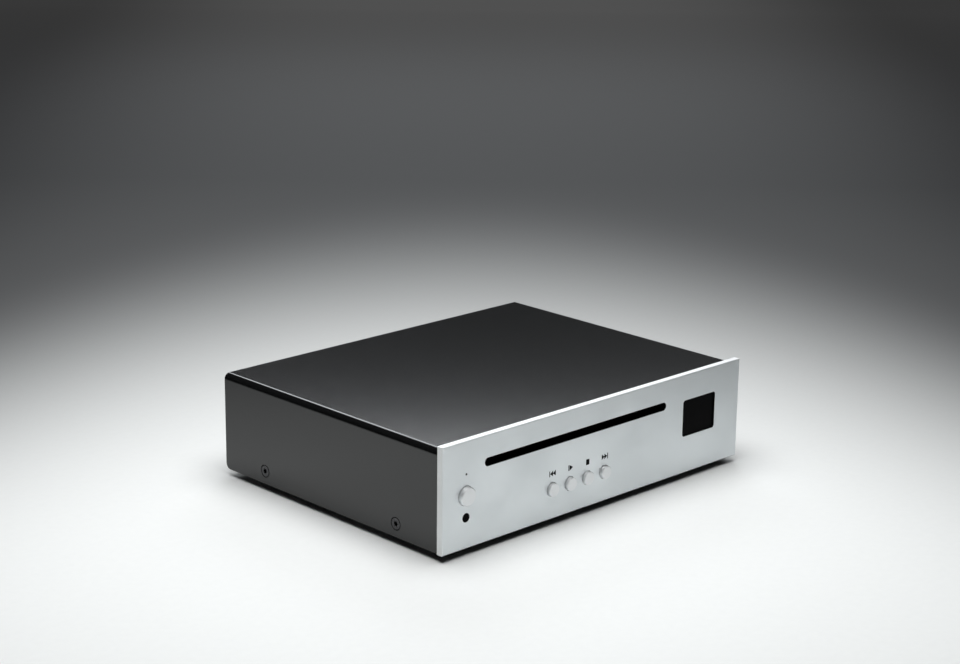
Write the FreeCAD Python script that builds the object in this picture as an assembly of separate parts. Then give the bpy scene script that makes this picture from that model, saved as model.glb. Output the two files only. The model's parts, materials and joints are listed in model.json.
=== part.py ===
import FreeCAD, Part
import math
import os

# Slot-loading disc player, in millimetres. +X is right and +Z is up when the player is seen
# from the front, and the front faces -Y. The origin is on the surface that it stands on, under
# the middle of its outer box. "Depth" below means distance behind the front panel's face.

# ---- driving dimensions ---------------------------------------------------------------
DISC_DIAMETER = 120.0
DISC_THICKNESS = 1.2
DISC_HOLE_RADIUS = 7.5
PANEL_WIDTH = 206.0
PANEL_HEIGHT = 51.5
PANEL_THICKNESS = 3.5
PANEL_CHAMFER = 0.3
FOOT_HEIGHT = 3.6
PANEL_GROUND_GAP = 3.5
COVER_LENGTH = 155.0
COVER_SIDE_STEP = 0.6
COVER_TOP_STEP = 1.9
SHEET = 1.5
BEND_RADIUS = 3.0
SOCKET_PROUD = 8.0
POWER_PROUD = 2.0
BOARD = 1.6

# ---- places worked out from them --------------------------------------------------------
PANEL_HALF = PANEL_WIDTH / 2
PANEL_BOTTOM = PANEL_GROUND_GAP
PANEL_TOP = PANEL_BOTTOM + PANEL_HEIGHT
COVER_REAR = PANEL_THICKNESS + COVER_LENGTH
COVER_HALF = PANEL_HALF - COVER_SIDE_STEP
COVER_INNER = COVER_HALF - SHEET
COVER_TOP = PANEL_TOP - COVER_TOP_STEP
COVER_CEILING = COVER_TOP - SHEET
COVER_BOTTOM = FOOT_HEIGHT
FLOOR_TOP = COVER_BOTTOM + SHEET
FRONT_Y = -(COVER_REAR + SOCKET_PROUD - POWER_PROUD) / 2
SIDE_SCREW_DEPTHS = [31.8, 127.5]
SIDE_SCREW_Z = PANEL_BOTTOM + 6.65
SIDE_SCREW_HOLE = 3.3
SIDE_SCREW_HEAD = 2.75
SIDE_SCREW_SHANK = 1.4
SIDE_SCREW_LENGTH = 6.0
SIDE_SOCKET_DEPTH = 1.1
PANEL_SCREW_XS = [-75.0, -25.0, 25.0, 75.0]
PANEL_SCREW_Z = PANEL_BOTTOM + 5.0
SCREW_RADIUS = 1.2
TAPPED_RADIUS = 1.25
CLEAR_RADIUS = 1.35
SCREW_HEAD_RADIUS = 2.2
SCREW_HEAD_HEIGHT = 1.5
SOCKET_SHARE = 0.42
FOOT_RADIUS = 7.0
FOOT_X = 85.0
FOOT_DEPTHS = {"front": 18.0, "rear": 142.0}

# ---- front panel layout: X from the middle, Z above the panel's lower edge -------------------
SLOT_X = -14.9
SLOT_LENGTH = DISC_DIAMETER + 4.0
SLOT_HEIGHT = 4.2
SLOT_Z = PANEL_BOTTOM + 38.5
LEFT_COLUMN_X = -88.4
POWER_Z = PANEL_BOTTOM + 25.5
POWER_RADIUS = 4.55
STANDBY_Z = PANEL_BOTTOM + 35.8
INFRARED_Z = PANEL_BOTTOM + 15.0
INFRARED_RADIUS = 2.25
BUTTON_FIRST_X = -32.5
BUTTON_PITCH = 12.0
BUTTON_Z = PANEL_BOTTOM + 14.7
BUTTON_RADIUS = 3.3
BUTTON_PROUD = 1.7
BUTTON_TRAVEL = 0.5
BUTTON_GAP = 0.2
WINDOW_X = 72.3
WINDOW_Z = PANEL_BOTTOM + 28.7
WINDOW_WIDTH = 24.3
WINDOW_HEIGHT = 19.0
WINDOW_CORNER = 1.5
WINDOW_RECESS = 0.8

# ---- front board -----------------------------------------------------------------------
FRONT_BOARD_DEPTH = 9.0
SWITCH_TIP_DEPTH = FRONT_BOARD_DEPTH - 2.4
FRONT_BOARD_BOTTOM = PANEL_BOTTOM + 10.0
FRONT_BOARD_TOP = SLOT_Z - 6.0
FRONT_BOARD_EAR_TOP = SLOT_Z + 5.0
FRONT_BOARD_HALF = 98.0
EAR_GAP = 3.0
FRONT_SCREW_PLACES = [(-94.0, SLOT_Z + 1.5), (94.0, SLOT_Z + 1.5), (-75.0, 17.5), (94.0, 17.5)]

# ---- main board and rear ---------------------------------------------------------------
MAIN_BOARD_Z = FLOOR_TOP + 4.9
MAIN_BOARD_TOP = MAIN_BOARD_Z + BOARD
MAIN_BOARD_HALF = 96.0
MAIN_BOARD_FRONT = 17.0
REAR_PANEL_DEPTH = COVER_REAR - 3.0
REAR_FLANGE_HEIGHT = 9.0
REAR_SCREW_XS = [-94.0, -30.0, 30.0, 94.0]
REAR_SCREW_Z = FLOOR_TOP + 5.5
MAIN_BOARD_REAR = REAR_PANEL_DEPTH - SHEET - 1.0
BOSS_X = 88.0
BOSS_DEPTHS = [24.0, 140.0]
OUTPUT_XS = [-70.0, -52.0]
OUTPUT_Z = MAIN_BOARD_TOP + 9.0
OUTPUT_SHELL_RADIUS = 4.15
OUTPUT_CORE_RADIUS = 3.4
OUTPUT_CONTACT_RADIUS = 1.6
OUTPUT_RING_RADIUS = 6.0
OUTPUT_RING_THICKNESS = 1.2
POST_RADIUS = 3.5
INLET_X = 80.0
INLET_Z = MAIN_BOARD_TOP + 6.5
INLET_BORE_RADIUS = 3.15
INLET_PIN_RADIUS = 1.0

# ---- disc mechanism --------------------------------------------------------------------
MECH_X = SLOT_X
MECH_HALF = 73.0
MECH_LEFT = MECH_X - MECH_HALF
MECH_RIGHT = MECH_X + MECH_HALF
MECH_WALL = 1.0
MECH_FRONT = 14.0
MECH_REAR = 144.0
MECH_BASE = 24.0
MECH_PLATE = 1.2
MECH_FLOOR_TOP = MECH_BASE + MECH_PLATE
MECH_TOP = COVER_CEILING - 2.2
DISC_DEPTH = 78.0
DISC_PATH_BOTTOM = SLOT_Z - DISC_THICKNESS / 2
DISC_SEAT_Z = DISC_PATH_BOTTOM - 2.4
ROLLER_DEPTH = 20.0
ROLLER_RADIUS = 3.0
ROLLER_Z = DISC_PATH_BOTTOM - ROLLER_RADIUS
ROLLER_SHAFT_RADIUS = 1.25
SHAFT_CLEARANCE = 0.05
MOTOR_SHAFT_RADIUS = 0.75
MOTOR_BEARING_RADIUS = 1.5
SPINDLE_RADIUS = 1.0
SPINDLE_BEARING_RADIUS = 2.0
LOAD_MODULE = 0.6
ROLLER_TEETH = 24
IDLER_TEETH = 10
IDLER_SHAFT_RADIUS = 1.0
GEAR_X = MECH_X + MECH_HALF + 1.0
GEAR_WIDTH = 2.0
GEAR_BACKLASH = 0.12
PULLEY_X = GEAR_X + 3.0
PULLEY_WIDTH = 2.0
IDLER_PULLEY_RADIUS = 9.0
MOTOR_PULLEY_RADIUS = 2.5
IDLER_DEPTH = ROLLER_DEPTH + LOAD_MODULE * (ROLLER_TEETH + IDLER_TEETH) / 2 + GEAR_BACKLASH
MOTOR_DEPTH = IDLER_DEPTH + 22.0
BRACKET_X = PULLEY_X + PULLEY_WIDTH + 1.0
DECK_Z = MECH_BASE + 6.0
DECK_TOP = DECK_Z + MECH_PLATE
DECK_HALF = 56.0
DECK_FRONT = 40.0
ROD_X = 20.0
ROD_Z = DECK_Z + 4.0
ROD_RADIUS = 1.25
ROD_FRONT = 92.0
ROD_REAR = MECH_REAR - 1.5
SLED_TRAVEL = 32.0
SLED_DEPTH = DISC_DEPTH + 24.0
SLED_HALF_LENGTH = 6.0
SLED_TOP = ROD_Z + 1.6
LENS_TRAVEL = 0.5
LENS_RADIUS = 2.4
LENS_HOLDER_BOTTOM = SLED_TOP + LENS_TRAVEL + 0.2
LENS_HOLDER_TOP = LENS_HOLDER_BOTTOM + 1.6
SLED_MODULE = 0.5
SLED_PINION_TEETH = 12
SLED_GEAR_TEETH = 36
MOTOR_PINION_TEETH = 10
SLED_GEAR_BOTTOM = DECK_TOP + 0.3
SLED_GEAR_TOP = ROD_Z - 0.7
SLED_POST_RADIUS = 1.0
RACK_X = MECH_X + 30.0
PINION_DEPTH = 107.0
RACK_FRONT = PINION_DEPTH - SLED_TRAVEL - 3.0
RACK_REAR = PINION_DEPTH + 4.0
PINION_X = RACK_X + SLED_MODULE * SLED_PINION_TEETH / 2 + GEAR_BACKLASH
SLED_MOTOR_X = PINION_X + SLED_MODULE * (SLED_GEAR_TEETH + MOTOR_PINION_TEETH) / 2 + GEAR_BACKLASH
CLAMP_DROP = 2.9
CLAMP_PIVOT_DEPTH = MECH_REAR - 5.0
CLAMP_ARM_Z = SLOT_Z + 4.0
CLAMP_ARM_THICKNESS = 1.2
CLAMP_PIVOT_Z = CLAMP_ARM_Z + CLAMP_ARM_THICKNESS / 2
CLAMP_PIN_RADIUS = 1.0
CLAMP_EAR_HALF = 15.5
PUCK_NECK_RADIUS = 6.4
CAM_TRAVEL = 6.0
CAM_FOLLOWER_DEPTH = 100.0
CAM_X = MECH_X - 18.0
DISC_PATH_TOP = DISC_PATH_BOTTOM + DISC_THICKNESS


# ---- helpers ---------------------------------------------------------------------------
def box(x_range, depth_range, z_range):
    """Box from ranges of X, depth behind the panel's face, and Z."""
    corner = FreeCAD.Vector(x_range[0], FRONT_Y + depth_range[0], z_range[0])
    width = x_range[1] - x_range[0]
    return Part.makeBox(width, depth_range[1] - depth_range[0], z_range[1] - z_range[0], corner)


def middle_box(x, half_width, depth_range, z_range):
    return box((x - half_width, x + half_width), depth_range, z_range)


def rod_back(x, z, radius, depth_range):
    """Cylinder that runs straight back, along +Y."""
    start = FreeCAD.Vector(x, FRONT_Y + depth_range[0], z)
    return Part.makeCylinder(radius, depth_range[1] - depth_range[0], start, FreeCAD.Vector(0, 1, 0))


def rod_up(x, depth, radius, z_range):
    start = FreeCAD.Vector(x, FRONT_Y + depth, z_range[0])
    return Part.makeCylinder(radius, z_range[1] - z_range[0], start, FreeCAD.Vector(0, 0, 1))


def rod_across(depth, z, radius, x_range):
    start = FreeCAD.Vector(x_range[0], FRONT_Y + depth, z)
    return Part.makeCylinder(radius, x_range[1] - x_range[0], start, FreeCAD.Vector(1, 0, 0))


def joined(shapes):
    """One solid from pieces that touch or overlap."""
    return shapes[0].fuse(shapes[1:]).removeSplitter()


def group(shapes):
    """Separate solids kept together in one node."""
    return Part.makeCompound(shapes)


def without(shape, tools):
    return shape.cut(tools) if tools else shape


def extruded(points, direction):
    """Prism from a closed outline of straight sides."""
    face = Part.Face(Part.makePolygon(points + [points[0]]))
    return face.extrude(direction)


def rounded_plate_back(x, z, width, height, radius, depth_range):
    """Upright plate with rounded corners, its thickness along +Y."""
    plate = middle_box(x, width / 2, depth_range, (z - height / 2, z + height / 2))
    corners = [edge for edge in plate.Edges if abs(edge.tangentAt(edge.FirstParameter).y) > 0.9]
    return plate.makeFillet(radius, corners)


def edges_on_depth(shape, depth):
    """Edges that lie wholly at one depth."""
    return [edge for edge in shape.Edges
            if abs(edge.BoundBox.YMin - FRONT_Y - depth) < 1e-4
            and abs(edge.BoundBox.YMax - FRONT_Y - depth) < 1e-4]


def screw_back(x, z, shank_radius, head_radius, head_height, length, head_depth, points_back):
    """Pan-head screw along Y. Its head's bearing face is at head_depth."""
    way = 1 if points_back else -1
    head_range = sorted((head_depth, head_depth - way * head_height))
    shank_range = sorted((head_depth, head_depth + way * length))
    head = rod_back(x, z, head_radius, head_range)
    outer = head_depth - way * head_height
    head = head.makeFillet(head_height * 0.4, edges_on_depth(head, outer))
    socket_range = sorted((outer, outer + way * head_height * 0.6))
    socket = rod_back(x, z, head_radius * SOCKET_SHARE, socket_range)
    return joined([head, rod_back(x, z, shank_radius, shank_range)]).cut(socket)


def screw_down(x, depth, shank_radius, head_radius, head_height, length, head_z):
    """Pan-head screw that points down. Its head's bearing face is at head_z."""
    head = rod_up(x, depth, head_radius, (head_z, head_z + head_height))
    shank = rod_up(x, depth, shank_radius, (head_z - length, head_z))
    socket = rod_up(x, depth, head_radius * SOCKET_SHARE, (head_z + head_height * 0.4, head_z + head_height))
    return joined([head, shank]).cut(socket)


def gear_outline(teeth, module, phase):
    """Polar corner points of straight-flanked teeth. phase is the angle of one tooth's middle."""
    pitch_radius = module * teeth / 2
    tip = pitch_radius + 0.85 * module
    root = pitch_radius - 1.15 * module
    quarter = math.pi / 2 / teeth
    corners = []
    for tooth in range(teeth):
        middle = phase + 2 * math.pi * tooth / teeth
        corners.append((root, middle - 1.25 * quarter))
        corners.append((tip, middle - 0.42 * quarter))
        corners.append((tip, middle + 0.42 * quarter))
        corners.append((root, middle + 1.25 * quarter))
    return corners


def gear_up(x, depth, teeth, module, phase, z_range):
    """Spur gear with an upright axis. Angles run from +X towards +Y."""
    centre = FreeCAD.Vector(x, FRONT_Y + depth, z_range[0])
    points = [centre + FreeCAD.Vector(r * math.cos(a), r * math.sin(a), 0)
              for r, a in gear_outline(teeth, module, phase)]
    return extruded(points, FreeCAD.Vector(0, 0, z_range[1] - z_range[0]))


def gear_across(depth, z, teeth, module, phase, x_range):
    """Spur gear with its axis along X. Angles run from +Y towards +Z."""
    centre = FreeCAD.Vector(x_range[0], FRONT_Y + depth, z)
    points = [centre + FreeCAD.Vector(0, r * math.cos(a), r * math.sin(a))
              for r, a in gear_outline(teeth, module, phase)]
    return extruded(points, FreeCAD.Vector(x_range[1] - x_range[0], 0, 0))


# ---- housing ---------------------------------------------------------------------------
def button_places():
    names = ["previous_button", "play_button", "stop_button", "next_button"]
    return [(name, BUTTON_FIRST_X + BUTTON_PITCH * index) for index, name in enumerate(names)]


def front_panel():
    plate = box((-PANEL_HALF, PANEL_HALF), (0, PANEL_THICKNESS), (PANEL_BOTTOM, PANEL_TOP))
    plate = plate.makeChamfer(PANEL_CHAMFER, edges_on_depth(plate, 0))
    through = (-1, PANEL_THICKNESS + 1)
    openings = [
        rounded_plate_back(SLOT_X, SLOT_Z, SLOT_LENGTH, SLOT_HEIGHT, SLOT_HEIGHT / 2 - 0.01, through),
        rounded_plate_back(WINDOW_X, WINDOW_Z, WINDOW_WIDTH, WINDOW_HEIGHT, WINDOW_CORNER, through),
        rod_back(LEFT_COLUMN_X, POWER_Z, POWER_RADIUS + BUTTON_GAP, through),
        rod_back(LEFT_COLUMN_X, STANDBY_Z, 0.55, through),
        rod_back(LEFT_COLUMN_X, INFRARED_Z, INFRARED_RADIUS, through),
    ]
    openings += [rod_back(x, BUTTON_Z, BUTTON_RADIUS + BUTTON_GAP, through) for _, x in button_places()]
    blind = (1.0, PANEL_THICKNESS + 1)
    openings += [rod_back(x, PANEL_SCREW_Z, TAPPED_RADIUS, blind) for x in PANEL_SCREW_XS]
    return without(plate, openings)


def cover_outline(half, top, bottom, radius):
    """Inverted U, open below, as a closed face at the cover's front."""
    y = FRONT_Y + PANEL_THICKNESS
    quarter = radius * (1 - math.sqrt(0.5))

    def point(x, z):
        return FreeCAD.Vector(x, y, z)

    left_side = point(-half, top - radius)
    left_top = point(radius - half, top)
    right_top = point(half - radius, top)
    right_side = point(half, top - radius)
    edges = [
        Part.LineSegment(point(-half, bottom), left_side),
        Part.Arc(left_side, point(quarter - half, top - quarter), left_top),
        Part.LineSegment(left_top, right_top),
        Part.Arc(right_top, point(half - quarter, top - quarter), right_side),
        Part.LineSegment(right_side, point(half, bottom)),
        Part.LineSegment(point(half, bottom), point(-half, bottom)),
    ]
    return Part.Face(Part.Wire([edge.toShape() for edge in edges]))


def side_screw_places():
    return [(side, depth) for side in (-1, 1) for depth in SIDE_SCREW_DEPTHS]


def countersunk(side, depth, head_radius, shank_radius):
    """Cone and shank that run inwards from a side of the cover."""
    outer = FreeCAD.Vector(side * COVER_HALF, FRONT_Y + depth, SIDE_SCREW_Z)
    inward = FreeCAD.Vector(-side, 0, 0)
    head = Part.makeCone(head_radius, shank_radius, SHEET, outer, inward)
    return joined([head, Part.makeCylinder(shank_radius, SIDE_SCREW_LENGTH, outer, inward)])


def side_screw_holes():
    """Countersinks are wider than the heads, which leaves an open ring around each head."""
    return [countersunk(side, depth, SIDE_SCREW_HOLE, SIDE_SCREW_SHANK + 0.1)
            for side, depth in side_screw_places()]


def lobed_socket(side, depth):
    """Six-lobed drive recess in the end of a side screw."""
    inward = FreeCAD.Vector(-side, 0, 0)
    face = FreeCAD.Vector(side * COVER_HALF, FRONT_Y + depth, SIDE_SCREW_Z)
    pieces = [Part.makeCylinder(1.1, SIDE_SOCKET_DEPTH, face, inward)]
    for lobe in range(6):
        angle = lobe * math.pi / 3
        offset = FreeCAD.Vector(0, 1.1 * math.cos(angle), 1.1 * math.sin(angle))
        pieces.append(Part.makeCylinder(0.35, SIDE_SOCKET_DEPTH, face + offset, inward))
    return joined(pieces)


def top_cover():
    length = FreeCAD.Vector(0, COVER_LENGTH, 0)
    outer = cover_outline(COVER_HALF, COVER_TOP, COVER_BOTTOM, BEND_RADIUS).extrude(length)
    inner = cover_outline(COVER_INNER, COVER_CEILING, COVER_BOTTOM - 1, BEND_RADIUS - SHEET).extrude(length)
    shell = outer.cut(inner)
    rear_corners = [edge for edge in shell.Edges
                    if edge.BoundBox.YLength < 1e-4 and edge.BoundBox.XLength > SHEET - 0.01
                    and edge.BoundBox.XLength < SHEET + 0.01 and edge.BoundBox.ZMax < COVER_BOTTOM + 0.01
                    and edge.BoundBox.YMin > FRONT_Y + COVER_REAR - 0.01]
    shell = shell.makeFillet(BEND_RADIUS, rear_corners)
    return without(shell, side_screw_holes())


def cover_screws():
    screws = []
    for side, depth in side_screw_places():
        screw = countersunk(side, depth, SIDE_SCREW_HEAD, SIDE_SCREW_SHANK)
        screws.append(screw.cut(lobed_socket(side, depth)))
    return group(screws)


def floor_bosses():
    return [(side * BOSS_X, depth) for side in (-1, 1) for depth in BOSS_DEPTHS]


def mechanism_post_places():
    return [(MECH_X + side * (MECH_HALF - 7), depth) for side in (-1, 1) for depth in (23.0, 136.0)]


def bottom_chassis():
    front = PANEL_THICKNESS
    rear = REAR_PANEL_DEPTH
    wall_top = FLOOR_TOP + 13.5
    pieces = [box((-COVER_INNER, COVER_INNER), (front, rear), (COVER_BOTTOM, FLOOR_TOP))]
    pieces.append(box((-98, 98), (front, front + SHEET), (COVER_BOTTOM, PANEL_BOTTOM + 9)))
    pieces.append(box((-98, 98), (rear - SHEET, rear), (COVER_BOTTOM, FLOOR_TOP + REAR_FLANGE_HEIGHT)))
    for side in (-1, 1):
        x_range = sorted((side * COVER_INNER, side * (COVER_INNER - SHEET)))
        pieces.append(box(x_range, (20, 150), (COVER_BOTTOM, wall_top)))
    pieces += [rod_up(x, depth, POST_RADIUS, (FLOOR_TOP - 0.5, MAIN_BOARD_Z)) for x, depth in floor_bosses()]
    holes = [rod_up(x, depth, TAPPED_RADIUS, (FLOOR_TOP, MAIN_BOARD_Z + 1)) for x, depth in floor_bosses()]
    holes += side_screw_holes()
    holes += [rod_back(x, PANEL_SCREW_Z, CLEAR_RADIUS, (front - 1, front + 3)) for x in PANEL_SCREW_XS]
    holes += [rod_back(x, REAR_SCREW_Z, CLEAR_RADIUS, (rear - 3, rear + 1)) for x in REAR_SCREW_XS]
    holes += [middle_box(x, 9, (depth - 0.75, depth + 0.75), (0, 8)) for x, depth in vent_places()]
    flange_notch = (MAIN_BOARD_TOP - 0.2, MAIN_BOARD_TOP + 12)
    holes += [middle_box(x, 6.5, (rear - 3, rear + 1), flange_notch) for x in OUTPUT_XS + [INLET_X]]
    return without(joined(pieces), holes)


def vent_places():
    return [(x, 84 + 6 * row) for x in (-60.0, 0.0, 60.0) for row in range(5)]


def front_panel_screws():
    depth = PANEL_THICKNESS + SHEET
    screws = []
    for x in PANEL_SCREW_XS:
        screws.append(screw_back(x, PANEL_SCREW_Z, SCREW_RADIUS, 2.5, 1.6, 3.6, depth, False))
    return group(screws)


def rear_panel():
    half = COVER_INNER - 0.2
    depths = (REAR_PANEL_DEPTH, REAR_PANEL_DEPTH + SHEET)
    plate = box((-half, half), depths, (FLOOR_TOP + 0.1, COVER_CEILING - 0.1))
    top_corners = [edge for edge in plate.Edges
                   if edge.BoundBox.YLength > 1 and edge.BoundBox.ZMin > COVER_CEILING - 1]
    plate = plate.makeFillet(BEND_RADIUS - SHEET, top_corners)
    through = (REAR_PANEL_DEPTH - 2, REAR_PANEL_DEPTH + 4)
    holes = [rod_back(x, OUTPUT_Z, OUTPUT_SHELL_RADIUS + 0.5, through) for x in OUTPUT_XS]
    holes.append(middle_box(INLET_X, 4.6, through, (MAIN_BOARD_TOP - 0.1, MAIN_BOARD_TOP + 11.1)))
    holes += [rod_back(x, REAR_SCREW_Z, CLEAR_RADIUS, through) for x in REAR_SCREW_XS]
    return without(plate, holes)


def rear_panel_screws():
    depth = REAR_PANEL_DEPTH + SHEET
    return group([screw_back(x, REAR_SCREW_Z, 1.3, 2.7, 1.8, 4.0, depth, False) for x in REAR_SCREW_XS])


def foot(x, depth):
    pad = rod_up(x, depth, FOOT_RADIUS, (0, FOOT_HEIGHT))
    bottom = [edge for edge in pad.Edges if edge.BoundBox.ZMax < 0.01]
    return pad.makeFillet(0.8, bottom)


# ---- controls --------------------------------------------------------------------------
def round_button(x, z, radius, proud, chamfer):
    cap = rod_back(x, z, radius, (-proud, PANEL_THICKNESS + 0.1))
    cap = cap.makeChamfer(chamfer, edges_on_depth(cap, -proud))
    flange = rod_back(x, z, radius + 0.8, (PANEL_THICKNESS + 0.05, PANEL_THICKNESS + 0.95))
    stem = rod_back(x, z, 1.5, (PANEL_THICKNESS, SWITCH_TIP_DEPTH - BUTTON_TRAVEL - 0.05))
    return joined([cap, flange, stem])


def tact_switch(x, z):
    body = middle_box(x, 3.0, (FRONT_BOARD_DEPTH - 1.6, FRONT_BOARD_DEPTH), (z - 3.0, z + 3.0))
    return joined([body, rod_back(x, z, 1.7, (SWITCH_TIP_DEPTH, FRONT_BOARD_DEPTH - 1))])


def tact_switches():
    places = [(LEFT_COLUMN_X, POWER_Z)] + [(x, BUTTON_Z) for _, x in button_places()]
    return group([tact_switch(x, z) for x, z in places])


def display_window():
    inset = 0.1
    width = WINDOW_WIDTH - inset
    height = WINDOW_HEIGHT - inset
    front_depths = (WINDOW_RECESS, PANEL_THICKNESS)
    front = rounded_plate_back(WINDOW_X, WINDOW_Z, width, height, WINDOW_CORNER, front_depths)
    flange_depths = (PANEL_THICKNESS, PANEL_THICKNESS + 0.8)
    flange = rounded_plate_back(WINDOW_X, WINDOW_Z, width + 3, height + 3, WINDOW_CORNER, flange_depths)
    return joined([front, flange])


def display_module():
    glass_depths = (PANEL_THICKNESS + 0.9, PANEL_THICKNESS + 3.0)
    glass = middle_box(WINDOW_X, 13, glass_depths, (WINDOW_Z - 10.2, WINDOW_Z + 10.2))
    frame = middle_box(WINDOW_X, 11, (glass_depths[1], FRONT_BOARD_DEPTH), (WINDOW_Z - 8, WINDOW_Z + 8))
    return joined([glass, frame])


def infrared_window():
    lens = rod_back(LEFT_COLUMN_X, INFRARED_Z, INFRARED_RADIUS - 0.02, (0.25, PANEL_THICKNESS))
    lens = lens.makeFillet(0.3, edges_on_depth(lens, 0.25))
    return joined([lens, rod_back(LEFT_COLUMN_X, INFRARED_Z, 3.0, (PANEL_THICKNESS, PANEL_THICKNESS + 0.7))])


def infrared_receiver():
    front = FRONT_BOARD_DEPTH - 2.0
    body = middle_box(LEFT_COLUMN_X, 2.8, (front, FRONT_BOARD_DEPTH), (INFRARED_Z - 3, INFRARED_Z + 3))
    dome = Part.makeSphere(2.0, FreeCAD.Vector(LEFT_COLUMN_X, FRONT_Y + front, INFRARED_Z))
    return joined([body, dome])


def standby_light_pipe():
    tip = rod_back(LEFT_COLUMN_X, STANDBY_Z, 0.5, (0.3, PANEL_THICKNESS + 0.1))
    collar = rod_back(LEFT_COLUMN_X, STANDBY_Z, 1.6, (PANEL_THICKNESS, PANEL_THICKNESS + 0.8))
    pipe = rod_back(LEFT_COLUMN_X, STANDBY_Z, 1.0, (PANEL_THICKNESS, FRONT_BOARD_DEPTH))
    return joined([tip, collar, pipe])


def slot_dust_strips():
    """Flocked strips behind the panel that line the slot's two long edges."""
    strips = []
    for side in (-1, 1):
        edge = SLOT_Z + side * (SLOT_HEIGHT / 2 + 0.1)
        z_range = sorted((edge, edge + side * 2.4))
        x_half = SLOT_LENGTH / 2
        strips.append(middle_box(SLOT_X, x_half, (PANEL_THICKNESS, PANEL_THICKNESS + 1.0), z_range))
    return group(strips)


# ---- boards ----------------------------------------------------------------------------
def front_board():
    depths = (FRONT_BOARD_DEPTH, FRONT_BOARD_DEPTH + BOARD)
    half = FRONT_BOARD_HALF
    slot_left = SLOT_X - SLOT_LENGTH / 2 - EAR_GAP
    slot_right = SLOT_X + SLOT_LENGTH / 2 + EAR_GAP
    pieces = [box((-half, half), depths, (FRONT_BOARD_BOTTOM, FRONT_BOARD_TOP))]
    pieces.append(box((-half, slot_left), depths, (FRONT_BOARD_BOTTOM, FRONT_BOARD_EAR_TOP)))
    pieces.append(box((slot_right, half), depths, (FRONT_BOARD_BOTTOM, FRONT_BOARD_EAR_TOP)))
    holes = [rod_back(x, z, TAPPED_RADIUS, (depths[0] - 1, depths[1] + 1)) for x, z in FRONT_SCREW_PLACES]
    return without(joined(pieces), holes)


def front_board_posts():
    posts = []
    for x, z in FRONT_SCREW_PLACES:
        post = rod_back(x, z, 2.5, (PANEL_THICKNESS, FRONT_BOARD_DEPTH))
        posts.append(post.cut(rod_back(x, z, TAPPED_RADIUS, (PANEL_THICKNESS + 1.5, FRONT_BOARD_DEPTH + 1))))
    return group(posts)


def board_screws():
    back = FRONT_BOARD_DEPTH + BOARD
    size = (SCREW_RADIUS, SCREW_HEAD_RADIUS, SCREW_HEAD_HEIGHT, 5.0)
    screws = [screw_back(x, z, *size, back, False) for x, z in FRONT_SCREW_PLACES]
    screws += [screw_down(x, depth, *size, MAIN_BOARD_TOP) for x, depth in floor_bosses()]
    return group(screws)


def main_board():
    depths = (MAIN_BOARD_FRONT, MAIN_BOARD_REAR)
    board = middle_box(0, MAIN_BOARD_HALF, depths, (MAIN_BOARD_Z, MAIN_BOARD_TOP))
    z_range = (MAIN_BOARD_Z - 1, MAIN_BOARD_TOP + 1)
    holes = [rod_up(x, depth, TAPPED_RADIUS, z_range) for x, depth in floor_bosses()]
    holes += [rod_up(x, depth, POST_RADIUS + 1, z_range) for x, depth in mechanism_post_places()]
    return without(board, holes)


def capacitors():
    base = MAIN_BOARD_TOP
    cans = [rod_up(x, depth, 5.0, (base, base + 20)) for x in (72.0, 86.0) for depth in (80.0, 96.0)]
    cans += [rod_up(x, 116.0, 3.0, (base, base + 10)) for x in (-40.0, -28.0, -16.0)]
    rounded = []
    for can in cans:
        top_edges = [edge for edge in can.Edges if edge.BoundBox.ZMin > base + 5]
        rounded.append(can.makeFillet(0.6, top_edges))
    return group(rounded)


def circuit_chips():
    places = [(-48.0, 60.0, 7.0), (-10.0, 72.0, 6.0), (24.0, 58.0, 5.0), (-66.0, 112.0, 4.0)]
    z_range = (MAIN_BOARD_TOP, MAIN_BOARD_TOP + 1.8)
    return group([middle_box(x, half, (depth - half, depth + half), z_range) for x, depth, half in places])


def ribbon_cable():
    """Flat cable between the two boards, with the connector at each end."""
    front = FRONT_BOARD_DEPTH + BOARD
    bend = 2.2
    thick = 0.3
    top_z = FRONT_BOARD_BOTTOM + 6.0
    y = FRONT_Y + front + 3.5
    socket_a = middle_box(0, 11, (front, front + 3.5), (top_z - 2, top_z + 2))
    rear_depth = front + 3.5 + 2 * bend
    low_z = top_z - 2 * bend
    socket_b = middle_box(0, 11, (rear_depth, rear_depth + 4), (MAIN_BOARD_TOP, low_z + 2))

    def point(offset, z):
        return FreeCAD.Vector(-9, y + offset, z)

    turn = math.sqrt(0.5)

    def line(half):
        """One edge of the S-shaped section, half a thickness off the middle line."""
        outer = bend + half
        inner = bend - half
        first = Part.Arc(point(0, top_z + half), point(outer * turn, top_z - bend + outer * turn),
                         point(outer, top_z - bend))
        dip = point(2 * bend - inner * turn, top_z - bend - inner * turn)
        second = Part.Arc(point(outer, top_z - bend), dip, point(2 * bend, low_z + half))
        return first, second

    upper = line(thick / 2)
    lower = line(-thick / 2)
    ends = [Part.LineSegment(point(0, top_z - thick / 2), point(0, top_z + thick / 2)),
            Part.LineSegment(point(2 * bend, low_z + thick / 2), point(2 * bend, low_z - thick / 2))]
    outline = [edge.toShape() for edge in ends + list(upper) + list(lower)]
    strip = Part.Face(Part.Wire(Part.__sortEdges__(outline))).extrude(FreeCAD.Vector(18, 0, 0))
    return group([socket_a, socket_b, strip])


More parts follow.
